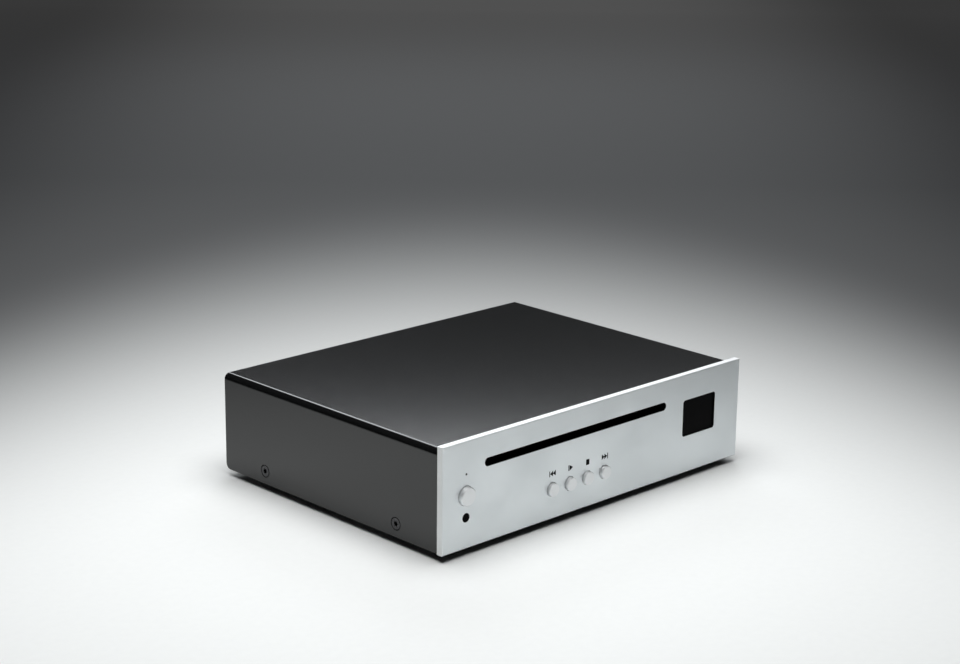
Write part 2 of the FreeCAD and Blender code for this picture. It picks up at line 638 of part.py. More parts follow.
# ---- rear sockets ----------------------------------------------------------------------
def output_bodies():
    bodies = []
    face = REAR_PANEL_DEPTH + SHEET
    for x in OUTPUT_XS:
        block = middle_box(x, 6, (face - 10, REAR_PANEL_DEPTH), (MAIN_BOARD_TOP, OUTPUT_Z + 6))
        ring = rod_back(x, OUTPUT_Z, OUTPUT_RING_RADIUS, (face, face + OUTPUT_RING_THICKNESS))
        neck = rod_back(x, OUTPUT_Z, OUTPUT_SHELL_RADIUS + 0.4, (REAR_PANEL_DEPTH - 1, face + 1))
        core = rod_back(x, OUTPUT_Z, OUTPUT_CORE_RADIUS, (face - 2, COVER_REAR + SOCKET_PROUD - 0.3))
        contact = rod_back(x, OUTPUT_Z, OUTPUT_CONTACT_RADIUS, (face - 1, COVER_REAR + SOCKET_PROUD + 1))
        bodies.append(joined([block, ring, neck, core]).cut(contact))
    return group(bodies)


def output_shells():
    depths = (REAR_PANEL_DEPTH + SHEET + OUTPUT_RING_THICKNESS, COVER_REAR + SOCKET_PROUD)
    shells = []
    for x in OUTPUT_XS:
        tube = rod_back(x, OUTPUT_Z, OUTPUT_SHELL_RADIUS, depths)
        shells.append(tube.cut(rod_back(x, OUTPUT_Z, OUTPUT_CORE_RADIUS, depths)))
    return group(shells)


def power_inlet():
    face = REAR_PANEL_DEPTH + SHEET + 0.6
    body = middle_box(INLET_X, 4.5, (face - 14, face), (MAIN_BOARD_TOP, MAIN_BOARD_TOP + 11))
    bore = rod_back(INLET_X, INLET_Z, INLET_BORE_RADIUS, (face - 9.5, face + 1))
    pin = rod_back(INLET_X, INLET_Z, INLET_PIN_RADIUS, (face - 10, face - 0.5))
    return joined([body.cut(bore), pin])


# ---- disc mechanism: frame and loading ---------------------------------------------------
def mechanism_frame():
    depths = (MECH_FRONT, MECH_REAR)
    floor_z = (MECH_BASE, MECH_FLOOR_TOP)
    pieces = [box((MECH_LEFT, MECH_RIGHT), depths, floor_z)]
    pieces.append(box((MECH_LEFT, MECH_LEFT + MECH_WALL), depths, (MECH_BASE, MECH_TOP)))
    pieces.append(box((MECH_RIGHT - MECH_WALL, MECH_RIGHT), depths, (MECH_BASE, MECH_TOP)))
    bracket_rear = MOTOR_DEPTH + 9
    pieces.append(box((MECH_RIGHT - MECH_WALL, BRACKET_X + MECH_WALL), (MECH_FRONT, bracket_rear), floor_z))
    bracket_z = (MECH_BASE, ROLLER_Z + 9)
    pieces.append(box((BRACKET_X, BRACKET_X + MECH_WALL), (IDLER_DEPTH - 3, bracket_rear), bracket_z))
    roller_bore = ROLLER_SHAFT_RADIUS + SHAFT_CLEARANCE
    idler_bore = IDLER_SHAFT_RADIUS + SHAFT_CLEARANCE
    holes = [rod_across(ROLLER_DEPTH, ROLLER_Z, roller_bore, (MECH_LEFT - 1, MECH_RIGHT + 1))]
    holes.append(rod_across(IDLER_DEPTH, ROLLER_Z, idler_bore, (MECH_RIGHT - 3, BRACKET_X + 3)))
    holes.append(rod_across(MOTOR_DEPTH, ROLLER_Z, MOTOR_BEARING_RADIUS, (BRACKET_X - 1, BRACKET_X + 3)))
    screw_z = (MECH_BASE - 1, MECH_FLOOR_TOP + 1)
    holes += [rod_up(x, depth, TAPPED_RADIUS, screw_z) for x, depth in mechanism_post_places()]
    return without(joined(pieces), holes)


def mechanism_top_plate():
    plate = middle_box(MECH_X, MECH_HALF, (MECH_FRONT, MECH_REAR), (MECH_TOP, MECH_TOP + MECH_WALL))
    pieces = [plate]
    ear_depths = (CLAMP_PIVOT_DEPTH - 2.5, CLAMP_PIVOT_DEPTH + 2.5)
    ear_z = (CLAMP_ARM_Z - 1.8, MECH_TOP + 0.5)
    for side in (-1, 1):
        x_range = sorted((MECH_X + side * (CLAMP_EAR_HALF - 1.5), MECH_X + side * CLAMP_EAR_HALF))
        pieces.append(box(x_range, ear_depths, ear_z))
    guide_depths = (CAM_FOLLOWER_DEPTH - 12, CAM_FOLLOWER_DEPTH + 22)
    shelf_z = (DISC_PATH_TOP + 0.3, DISC_PATH_TOP + 0.7)
    pieces.append(box((CAM_X - 3.2, CAM_X - 2.4), guide_depths, (shelf_z[0], MECH_TOP + 0.5)))
    pieces.append(box((CAM_X - 3.2, CAM_X + 2), guide_depths, shelf_z))
    pin_x = (MECH_X - CLAMP_EAR_HALF - 1, MECH_X + CLAMP_EAR_HALF + 1)
    pin_hole = rod_across(CLAMP_PIVOT_DEPTH, CLAMP_PIVOT_Z, CLAMP_PIN_RADIUS, pin_x)
    return joined(pieces).cut(pin_hole)


def mechanism_posts():
    posts = []
    for x, depth in mechanism_post_places():
        post = rod_up(x, depth, POST_RADIUS, (FLOOR_TOP, MECH_BASE))
        posts.append(post.cut(rod_up(x, depth, TAPPED_RADIUS, (MECH_BASE - 6, MECH_BASE + 1))))
    return group(posts)


def mechanism_screws():
    size = (SCREW_RADIUS, SCREW_HEAD_RADIUS, SCREW_HEAD_HEIGHT, 5.5)
    return group([screw_down(x, depth, *size, MECH_FLOOR_TOP) for x, depth in mechanism_post_places()])


def disc_guide():
    """Ribbed plastic guide that keeps a disc pressed down on the roller."""
    low = DISC_PATH_TOP + 0.4
    depths = (15.5, 32)
    pieces = [middle_box(MECH_X, 66, depths, (MECH_TOP - 1.6, MECH_TOP))]
    for index in range(-4, 5):
        x = MECH_X + index * 15.0
        rib_low = low + 1.2 - 0.3 * abs(index)
        pieces.append(middle_box(x, 0.75, depths, (rib_low, MECH_TOP - 1)))
    return joined(pieces)


def roller_shaft():
    x_range = (MECH_LEFT - 1.5, GEAR_X + GEAR_WIDTH)
    return rod_across(ROLLER_DEPTH, ROLLER_Z, ROLLER_SHAFT_RADIUS, x_range)


def roller_rubber():
    """Two sleeves that taper towards the middle, so that only a disc's rim touches them."""
    sleeves = []
    for side in (-1, 1):
        outer = FreeCAD.Vector(MECH_X + side * 66, FRONT_Y + ROLLER_DEPTH, ROLLER_Z)
        cone = Part.makeCone(ROLLER_RADIUS, ROLLER_RADIUS - 0.7, 62, outer, FreeCAD.Vector(-side, 0, 0))
        core = rod_across(ROLLER_DEPTH, ROLLER_Z, ROLLER_SHAFT_RADIUS, (MECH_X - 70, MECH_X + 70))
        sleeves.append(cone.cut(core))
    return group(sleeves)


def roller_gear():
    x_range = (GEAR_X, GEAR_X + GEAR_WIDTH)
    gear = gear_across(ROLLER_DEPTH, ROLLER_Z, ROLLER_TEETH, LOAD_MODULE, 0.0, x_range)
    return gear.cut(rod_across(ROLLER_DEPTH, ROLLER_Z, ROLLER_SHAFT_RADIUS, (GEAR_X - 1, GEAR_X + 3)))


def grooved_pulley(depth, radius):
    """Pulley whose middle is cut down to the given radius for the belt."""
    rim = 0.9
    pulley = rod_across(depth, ROLLER_Z, radius + rim, (PULLEY_X, PULLEY_X + PULLEY_WIDTH))
    groove = rod_across(depth, ROLLER_Z, radius + rim + 1, (PULLEY_X + 0.5, PULLEY_X + PULLEY_WIDTH - 0.5))
    groove = groove.cut(rod_across(depth, ROLLER_Z, radius, (PULLEY_X, PULLEY_X + PULLEY_WIDTH)))
    return pulley.cut(groove)


def idler_gear():
    """Gear, pulley and shaft moulded as one piece."""
    half_tooth = math.pi / IDLER_TEETH
    gear = gear_across(IDLER_DEPTH, ROLLER_Z, IDLER_TEETH, LOAD_MODULE, half_tooth, (GEAR_X, PULLEY_X))
    shaft_x = (MECH_RIGHT - MECH_WALL, BRACKET_X + MECH_WALL)
    shaft = rod_across(IDLER_DEPTH, ROLLER_Z, IDLER_SHAFT_RADIUS, shaft_x)
    return joined([gear, grooved_pulley(IDLER_DEPTH, IDLER_PULLEY_RADIUS), shaft])


def motor_pulley():
    shaft = rod_across(MOTOR_DEPTH, ROLLER_Z, MOTOR_SHAFT_RADIUS, (PULLEY_X, BRACKET_X + 3))
    return joined([grooved_pulley(MOTOR_DEPTH, MOTOR_PULLEY_RADIUS), shaft])


def belt_loop(near_radius, far_radius, x_range):
    """Prism that wraps a circle at the idler and one at the motor, with tangent straights."""
    lean = math.acos((near_radius - far_radius) / (MOTOR_DEPTH - IDLER_DEPTH))

    def point(depth, radius, angle):
        return FreeCAD.Vector(x_range[0], FRONT_Y + depth + radius * math.cos(angle),
                              ROLLER_Z + radius * math.sin(angle))

    near_up = point(IDLER_DEPTH, near_radius, lean)
    near_down = point(IDLER_DEPTH, near_radius, -lean)
    far_up = point(MOTOR_DEPTH, far_radius, lean)
    far_down = point(MOTOR_DEPTH, far_radius, -lean)
    edges = [
        Part.Arc(near_up, point(IDLER_DEPTH, near_radius, math.pi), near_down),
        Part.LineSegment(near_down, far_down),
        Part.Arc(far_down, point(MOTOR_DEPTH, far_radius, 0), far_up),
        Part.LineSegment(far_up, near_up),
    ]
    face = Part.Face(Part.Wire([edge.toShape() for edge in edges]))
    return face.extrude(FreeCAD.Vector(x_range[1] - x_range[0], 0, 0))


def drive_belt():
    x_range = (PULLEY_X + 0.6, PULLEY_X + PULLEY_WIDTH - 0.6)
    gap = 0.02
    thick = 0.8
    outer = belt_loop(IDLER_PULLEY_RADIUS + gap + thick, MOTOR_PULLEY_RADIUS + gap + thick, x_range)
    return outer.cut(belt_loop(IDLER_PULLEY_RADIUS + gap, MOTOR_PULLEY_RADIUS + gap, x_range))


def loading_motor():
    start = BRACKET_X + MECH_WALL
    can = rod_across(MOTOR_DEPTH, ROLLER_Z, 8.0, (start, start + 18))
    bearing = rod_across(MOTOR_DEPTH, ROLLER_Z, MOTOR_BEARING_RADIUS, (BRACKET_X, start))
    bore = MOTOR_SHAFT_RADIUS + SHAFT_CLEARANCE
    hole = rod_across(MOTOR_DEPTH, ROLLER_Z, bore, (BRACKET_X - 1, start + 4))
    return joined([can, bearing]).cut(hole)


# ---- disc mechanism: reading deck --------------------------------------------------------
def deck_damper_places():
    depths = (DECK_FRONT + 6, MECH_REAR - 8)
    return [(MECH_X + side * (DECK_HALF - 6), depth) for side in (-1, 1) for depth in depths]


def traverse_deck():
    pieces = [middle_box(MECH_X, DECK_HALF, (DECK_FRONT, MECH_REAR - 1.5), (DECK_Z, DECK_TOP))]
    holes = []
    for side in (-1, 1):
        x = MECH_X + side * ROD_X
        pieces.append(middle_box(x, 2.2, (ROD_FRONT, ROD_FRONT + 2), (DECK_Z, ROD_Z + 2)))
        pieces.append(middle_box(x, 2.2, (ROD_REAR - 2, ROD_REAR), (DECK_Z, ROD_Z + 2)))
        holes.append(rod_back(x, ROD_Z, ROD_RADIUS, (ROD_FRONT - 1, ROD_REAR + 1)))
    pieces.append(rod_up(PINION_X, PINION_DEPTH, SLED_POST_RADIUS, (DECK_TOP - 0.2, ROD_Z + 2.4)))
    through = (DECK_Z - 1, DECK_TOP + 1)
    holes.append(rod_up(MECH_X, DISC_DEPTH, SPINDLE_BEARING_RADIUS + SHAFT_CLEARANCE, through))
    holes.append(rod_up(SLED_MOTOR_X, PINION_DEPTH, MOTOR_BEARING_RADIUS, through))
    return without(joined(pieces), holes)


def deck_dampers():
    z_range = (MECH_FLOOR_TOP, DECK_Z)
    dampers = []
    for x, depth in deck_damper_places():
        damper = rod_up(x, depth, 4.0, z_range)
        dampers.append(damper.cut(rod_up(x, depth, 1.5, z_range)))
    return group(dampers)


def spindle_motor():
    can = rod_up(MECH_X, DISC_DEPTH, 11.0, (MECH_FLOOR_TOP + 0.3, DECK_Z))
    bearing = rod_up(MECH_X, DISC_DEPTH, SPINDLE_BEARING_RADIUS, (DECK_Z - 1, DECK_Z + 3.5))
    bore = rod_up(MECH_X, DISC_DEPTH, SPINDLE_RADIUS + SHAFT_CLEARANCE, (DECK_Z - 3, DECK_Z + 4))
    return joined([can, bearing]).cut(bore)


def turntable():
    """Platter, self-centring hub and spindle."""
    platter = rod_up(MECH_X, DISC_DEPTH, 14.0, (DISC_SEAT_Z - 2.2, DISC_SEAT_Z))
    base = FreeCAD.Vector(MECH_X, FRONT_Y + DISC_DEPTH, DISC_SEAT_Z)
    hub = Part.makeCone(DISC_HOLE_RADIUS - 0.1, DISC_HOLE_RADIUS - 2.5, 2.0, base)
    spindle = rod_up(MECH_X, DISC_DEPTH, SPINDLE_RADIUS, (DECK_Z - 2, DISC_SEAT_Z))
    return joined([platter, hub, spindle])


def guide_rods():
    xs = (MECH_X - ROD_X, MECH_X + ROD_X)
    return group([rod_back(x, ROD_Z, ROD_RADIUS, (ROD_FRONT, ROD_REAR)) for x in xs])


def rack():
    """Toothed bar on the sled. Its teeth face +X, and a space faces the pinion at rest."""
    pitch = math.pi * SLED_MODULE
    tip = RACK_X + 0.85 * SLED_MODULE
    root = RACK_X - 1.15 * SLED_MODULE
    z = ROD_Z - 0.3
    back = RACK_X - 3
    points = [FreeCAD.Vector(back, FRONT_Y + RACK_REAR, z), FreeCAD.Vector(back, FRONT_Y + RACK_FRONT, z)]
    first = math.ceil((RACK_FRONT - PINION_DEPTH) / pitch + 0.5)
    last = math.floor((RACK_REAR - PINION_DEPTH) / pitch - 0.5)
    points.append(FreeCAD.Vector(root, FRONT_Y + RACK_FRONT, z))
    for tooth in range(first, last):
        middle = FRONT_Y + PINION_DEPTH + (tooth + 0.5) * pitch
        points.append(FreeCAD.Vector(root, middle - 0.31 * pitch, z))
        points.append(FreeCAD.Vector(tip, middle - 0.1 * pitch, z))
        points.append(FreeCAD.Vector(tip, middle + 0.1 * pitch, z))
        points.append(FreeCAD.Vector(root, middle + 0.31 * pitch, z))
    points.append(FreeCAD.Vector(root, FRONT_Y + RACK_REAR, z))
    return extruded(points, FreeCAD.Vector(0, 0, 2.0))


def pickup_sled():
    depths = (SLED_DEPTH - SLED_HALF_LENGTH, SLED_DEPTH + SLED_HALF_LENGTH)
    pieces = [middle_box(MECH_X, ROD_X + 2.4, depths, (DECK_TOP + 0.6, SLED_TOP))]
    pieces.append(box((MECH_X + ROD_X, RACK_X - 2), depths, (ROD_Z - 0.3, SLED_TOP)))
    pieces.append(rack())
    through = (depths[0] - 1, depths[1] + 1)
    bores = [rod_back(MECH_X + side * ROD_X, ROD_Z, ROD_RADIUS + SHAFT_CLEARANCE, through)
             for side in (-1, 1)]
    return without(joined(pieces), bores)


def lens_holder():
    z_range = (LENS_HOLDER_BOTTOM, LENS_HOLDER_TOP)
    holder = middle_box(MECH_X, 5.5, (SLED_DEPTH - 4.5, SLED_DEPTH + 4.5), z_range)
    corners = [edge for edge in holder.Edges if edge.BoundBox.ZLength > 1]
    holder = holder.makeFillet(1.2, corners)
    return holder.cut(rod_up(MECH_X, SLED_DEPTH, LENS_RADIUS, z_range))


def objective_lens():
    top = LENS_HOLDER_TOP - 0.1
    lens = rod_up(MECH_X, SLED_DEPTH, LENS_RADIUS, (LENS_HOLDER_BOTTOM + 0.4, top))
    rim = [edge for edge in lens.Edges if edge.BoundBox.ZMin > top - 0.1]
    return lens.makeFillet(0.6, rim)


def sled_gear():
    """Double gear: the small one drives the rack and the large one meets the motor's pinion."""
    small_z = (SLED_GEAR_TOP, ROD_Z + 2.2)
    large_z = (SLED_GEAR_BOTTOM, SLED_GEAR_TOP)
    large = gear_up(PINION_X, PINION_DEPTH, SLED_GEAR_TEETH, SLED_MODULE, 0.0, large_z)
    small = gear_up(PINION_X, PINION_DEPTH, SLED_PINION_TEETH, SLED_MODULE, math.pi, small_z)
    bore = rod_up(PINION_X, PINION_DEPTH, SLED_POST_RADIUS + SHAFT_CLEARANCE, (DECK_TOP, ROD_Z + 4))
    return joined([large, small]).cut(bore)


def sled_motor_pinion():
    phase = math.pi + math.pi / MOTOR_PINION_TEETH
    z_range = (SLED_GEAR_BOTTOM, SLED_GEAR_TOP)
    gear = gear_up(SLED_MOTOR_X, PINION_DEPTH, MOTOR_PINION_TEETH, SLED_MODULE, phase, z_range)
    shaft = rod_up(SLED_MOTOR_X, PINION_DEPTH, MOTOR_SHAFT_RADIUS, (DECK_Z - 2, SLED_GEAR_TOP))
    return joined([gear, shaft])


def sled_motor():
    can = rod_up(SLED_MOTOR_X, PINION_DEPTH, 6.0, (MECH_FLOOR_TOP + 0.3, DECK_Z))
    bearing = rod_up(SLED_MOTOR_X, PINION_DEPTH, MOTOR_BEARING_RADIUS, (DECK_Z - 1, DECK_TOP))
    bore_radius = MOTOR_SHAFT_RADIUS + SHAFT_CLEARANCE
    bore = rod_up(SLED_MOTOR_X, PINION_DEPTH, bore_radius, (DECK_Z - 3, DECK_Z + 3))
    return joined([can, bearing]).cut(bore)


# ---- disc mechanism: clamp ---------------------------------------------------------------
def clamp_arm():
    plate_z = (CLAMP_ARM_Z, CLAMP_ARM_Z + CLAMP_ARM_THICKNESS)
    pieces = [middle_box(MECH_X, 9, (DISC_DEPTH, CLAMP_PIVOT_DEPTH), plate_z)]
    pieces.append(rod_up(MECH_X, DISC_DEPTH, 11.0, plate_z))
    barrel_x = (MECH_X - 13.6, MECH_X + 13.6)
    pieces.append(rod_across(CLAMP_PIVOT_DEPTH, CLAMP_PIVOT_Z, 2.0, barrel_x))
    finger_x = (CAM_X - 1, MECH_X - 8)
    pieces.append(rod_across(CAM_FOLLOWER_DEPTH, CLAMP_PIVOT_Z, CLAMP_ARM_THICKNESS / 2, finger_x))
    bore = rod_across(CLAMP_PIVOT_DEPTH, CLAMP_PIVOT_Z, CLAMP_PIN_RADIUS + SHAFT_CLEARANCE, barrel_x)
    puck_hole = rod_up(MECH_X, DISC_DEPTH, PUCK_NECK_RADIUS + 0.2, plate_z)
    return without(joined(pieces), [bore, puck_hole])


def clamp_arm_pin():
    x_range = (MECH_X - CLAMP_EAR_HALF, MECH_X + CLAMP_EAR_HALF)
    return rod_across(CLAMP_PIVOT_DEPTH, CLAMP_PIVOT_Z, CLAMP_PIN_RADIUS, x_range)


def clamp_puck():
    pressing = rod_up(MECH_X, DISC_DEPTH, 13.0, (DISC_PATH_TOP + 0.6, CLAMP_ARM_Z - 0.2))
    neck = rod_up(MECH_X, DISC_DEPTH, PUCK_NECK_RADIUS, (CLAMP_ARM_Z - 1, CLAMP_ARM_Z + 1.6))
    cap = rod_up(MECH_X, DISC_DEPTH, 8.5, (CLAMP_ARM_Z + 1.4, CLAMP_ARM_Z + 2.4))
    recess = rod_up(MECH_X, DISC_DEPTH, 8.2, (DISC_PATH_BOTTOM, DISC_PATH_TOP + 2.0))
    return joined([pressing, neck, cap]).cut(recess)


def cam_slider():
    """Slider with a ramp on top that lets the clamp arm's finger down as it moves back."""
    bottom = DISC_PATH_TOP + 0.8
    top = CLAMP_ARM_Z - 0.3
    finger_reach = CLAMP_PIVOT_DEPTH - CAM_FOLLOWER_DEPTH
    finger_drop = CLAMP_DROP * finger_reach / (CLAMP_PIVOT_DEPTH - DISC_DEPTH)
    rear = CAM_FOLLOWER_DEPTH + 12
    front = CAM_FOLLOWER_DEPTH - CAM_TRAVEL - 4
    corners = [(front, bottom), (rear, bottom), (rear, top), (CAM_FOLLOWER_DEPTH, top),
               (CAM_FOLLOWER_DEPTH - CAM_TRAVEL, top - finger_drop), (front, top - finger_drop)]
    points = [FreeCAD.Vector(CAM_X - 2.2, FRONT_Y + depth, z) for depth, z in corners]
    return extruded(points, FreeCAD.Vector(4.0, 0, 0))


# ---- every node ------------------------------------------------------------------------
def nodes():
    built = {
        "front_panel": front_panel(), "top_cover": top_cover(), "bottom_chassis": bottom_chassis(),
        "rear_panel": rear_panel(), "cover_screws": cover_screws(), "rear_panel_screws": rear_panel_screws(),
        "front_panel_screws": front_panel_screws(), "tact_switches": tact_switches(),
        "display_window": display_window(), "display_module": display_module(),
        "infrared_window": infrared_window(), "infrared_receiver": infrared_receiver(),
        "standby_light_pipe": standby_light_pipe(), "slot_dust_strips": slot_dust_strips(),
        "front_board": front_board(), "front_board_posts": front_board_posts(),
        "board_screws": board_screws(), "main_board": main_board(), "capacitors": capacitors(),
        "circuit_chips": circuit_chips(),
        "ribbon_cable": ribbon_cable(), "output_bodies": output_bodies(), "output_shells": output_shells(),
        "power_inlet": power_inlet(), "mechanism_frame": mechanism_frame(),
        "mechanism_top_plate": mechanism_top_plate(), "mechanism_posts": mechanism_posts(),
        "mechanism_screws": mechanism_screws(), "disc_guide": disc_guide(), "roller_shaft": roller_shaft(),
        "roller_rubber": roller_rubber(), "roller_gear": roller_gear(), "idler_gear": idler_gear(),
        "motor_pulley": motor_pulley(), "drive_belt": drive_belt(), "loading_motor": loading_motor(),
        "traverse_deck": traverse_deck(), "deck_dampers": deck_dampers(), "spindle_motor": spindle_motor(),
        "turntable": turntable(), "guide_rods": guide_rods(), "pickup_sled": pickup_sled(),
        "lens_holder": lens_holder(), "objective_lens": objective_lens(), "sled_gear": sled_gear(),
        "sled_motor_pinion": sled_motor_pinion(), "sled_motor": sled_motor(), "clamp_arm": clamp_arm(),
        "clamp_arm_pin": clamp_arm_pin(), "clamp_puck": clamp_puck(), "cam_slider": cam_slider(),
    }
    built["power_button"] = round_button(LEFT_COLUMN_X, POWER_Z, POWER_RADIUS, POWER_PROUD, 0.5)
    for name, x in button_places():
        built[name] = round_button(x, BUTTON_Z, BUTTON_RADIUS, BUTTON_PROUD, 0.3)
    for side_name, x in (("left", -FOOT_X), ("right", FOOT_X)):
        for end_name, depth in FOOT_DEPTHS.items():
            built["foot_" + end_name + "_" + side_name] = foot(x, depth)
    return built


os.makedirs("parts", exist_ok=True)
for node_name, shape in nodes().items():
    shape.exportStep("parts/" + node_name + ".step")
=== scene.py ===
import json
import math
import random

import bmesh
import bpy
from mathutils import Matrix, Vector


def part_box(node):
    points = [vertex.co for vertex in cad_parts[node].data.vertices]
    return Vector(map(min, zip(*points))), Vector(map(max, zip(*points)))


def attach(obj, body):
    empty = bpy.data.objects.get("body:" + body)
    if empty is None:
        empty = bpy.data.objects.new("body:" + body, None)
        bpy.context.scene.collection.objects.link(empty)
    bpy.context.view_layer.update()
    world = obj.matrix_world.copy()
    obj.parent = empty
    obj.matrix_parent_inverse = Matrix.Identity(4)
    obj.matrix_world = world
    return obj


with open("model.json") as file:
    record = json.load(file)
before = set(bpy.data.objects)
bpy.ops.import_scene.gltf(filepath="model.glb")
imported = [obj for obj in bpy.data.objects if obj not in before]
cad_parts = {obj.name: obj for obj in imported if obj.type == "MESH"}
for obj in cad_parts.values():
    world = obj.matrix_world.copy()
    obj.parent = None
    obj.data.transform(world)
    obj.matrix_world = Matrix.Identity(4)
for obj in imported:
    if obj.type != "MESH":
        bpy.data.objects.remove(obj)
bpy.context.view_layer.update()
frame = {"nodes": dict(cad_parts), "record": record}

MM = 0.001

# ---- places taken from the frame ---------------------------------------------------------
panel_low, panel_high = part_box("front_panel")
FACE_Y = panel_low.y
NODES = frame["nodes"]


def middle(node):
    low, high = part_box(node)
    return (low + high) / 2


# ---- camera: the view that the player is seen from -----------------------------------------
CAMERA_AZIMUTH = math.radians(44.215)
CAMERA_ELEVATION = math.radians(16.018)
CAMERA_ROLL = math.radians(0.694)
CAMERA_DISTANCE = 1.06788
CAMERA_LENS = 79.054
AIM = Vector((0.01022, panel_low.y + 0.09372, panel_low.z + 0.06319))


def make_camera():
    level = math.cos(CAMERA_ELEVATION)
    back = Vector((-math.sin(CAMERA_AZIMUTH) * level, -math.cos(CAMERA_AZIMUTH) * level,
                   math.sin(CAMERA_ELEVATION)))
    right = (-back).cross(Vector((0, 0, 1))).normalized()
    up = right.cross(-back)
    turned_right = math.cos(CAMERA_ROLL) * right + math.sin(CAMERA_ROLL) * up
    turned_up = math.cos(CAMERA_ROLL) * up - math.sin(CAMERA_ROLL) * right
    camera = bpy.data.objects.new("camera", bpy.data.cameras.new("camera"))
    camera.data.lens = CAMERA_LENS
    camera.data.sensor_width = 36.0
    camera.data.clip_start = 0.05
    place = Matrix((turned_right, turned_up, back)).transposed().to_4x4()
    place.translation = AIM + back * CAMERA_DISTANCE
    camera.matrix_world = place
    bpy.context.scene.collection.objects.link(camera)
    bpy.context.scene.camera = camera


# ---- stage: floor, lights, world -----------------------------------------------------------
def area_light(name, place, aim, size, power, tint=(1, 1, 1)):
    light = bpy.data.lights.new(name, "AREA")
    light.shape = "RECTANGLE"
    light.size, light.size_y = size
    light.energy = power
    light.color = tint
    lamp = bpy.data.objects.new(name, light)
    lamp.location = place
    lamp.rotation_mode = "QUATERNION"
    lamp.rotation_quaternion = (Vector(aim) - Vector(place)).to_track_quat("-Z", "Y")
    bpy.context.scene.collection.objects.link(lamp)


# painted fall-off of light: pale where the light falls, dark further back and to the sides
FLOOR_PALE = (0.795, 0.812, 0.808)
FLOOR_DARK = (0.125, 0.128, 0.130)
FLOOR_DARKER = (0.050, 0.050, 0.052)
FADE_START = -0.10
FADE_END = 0.72
FADE_CURVE = 3.2
SIDE_FADE_END = 0.30
GLOW_START = 0.7
GLOW_END = 1.8
GLOW_STRENGTH = 0.075
GLOW_MIDDLE = (1, 1, 1)
GLOW_SIDE = (0.48, 0.48, 0.48)
FLOOR_HALF = 6.0


def make_floor():
    """Pale floor with a painted fall-off of light: it darkens behind the player and, further back, towards
    the sides.

    Its far end glows faintly, which stands for a backdrop with its own light.
    """
    mesh = bpy.data.meshes.new("floor")
    half = FLOOR_HALF
    corners = [(-half, -half, 0), (half, -half, 0), (half, half, 0), (-half, half, 0)]
    mesh.from_pydata(corners, [], [(0, 1, 2, 3)])
    floor = bpy.data.objects.new("floor", mesh)
    bpy.context.scene.collection.objects.link(floor)
    look = Look("floor", metallic=0.0, roughness=0.7)
    turn = look.node("ShaderNodeMapping", vector_type="POINT")
    turn.inputs["Rotation"].default_value = (0, 0, CAMERA_AZIMUTH)
    look.join(look.place.outputs["Object"], turn.inputs["Vector"])
    across, depth, _ = look.split(turn.outputs[0])
    square = look.calculate("MULTIPLY", across, across)
    away = look.calculate("MULTIPLY_ADD", square, FADE_CURVE, depth)
    # painted fall-off of light: the colour goes from pale in front to dark behind the player and towards
    # the sides
    painted_falloff = look.spread(away, 0, 1, FADE_START, FADE_END, "SMOOTHERSTEP")
    sideways = look.spread(square, 0, 1, 0, SIDE_FADE_END, "SMOOTHSTEP")
    far = look.mix_colour(sideways, FLOOR_DARK, FLOOR_DARKER)
    mottle = look.spread(look.noise(0.004, 3.0), 0.0, 0.02)
    tint = look.mix_colour(mottle, look.mix_colour(painted_falloff, FLOOR_PALE, far), FLOOR_DARK)
    look.join(tint, look.shader.inputs["Base Color"])
    look.shader.inputs["Specular IOR Level"].default_value = 0.1
    glow = look.spread(depth, 0, GLOW_STRENGTH, GLOW_START, GLOW_END)
    glow_tint = look.mix_colour(sideways, GLOW_MIDDLE, GLOW_SIDE)
    look.join(glow_tint, look.shader.inputs["Emission Color"])
    look.join(glow, look.shader.inputs["Emission Strength"])
    floor.data.materials.append(look.material)


def make_lights():
    """A large soft light overhead and a softbox high behind the player."""
    area_light("overhead", (-0.06, -0.03, 0.64), (-0.03, 0.0, 0.0), (0.55, 0.55), 5.9)
    area_light("back_box", (0.850, 0.910, 0.82), (0.0, 0.0, 0.05), (0.9, 0.48), 5.4,
               tint=(0.94, 0.97, 1.0))
    world = bpy.data.worlds.new("studio")
    world.use_nodes = True
    background = world.node_tree.nodes["Background"]
    background.inputs["Color"].default_value = (0.95, 0.98, 1.0, 1)
    background.inputs["Strength"].default_value = 0.02
    bpy.context.scene.world = world
    bpy.context.scene.view_settings.view_transform = "Standard"


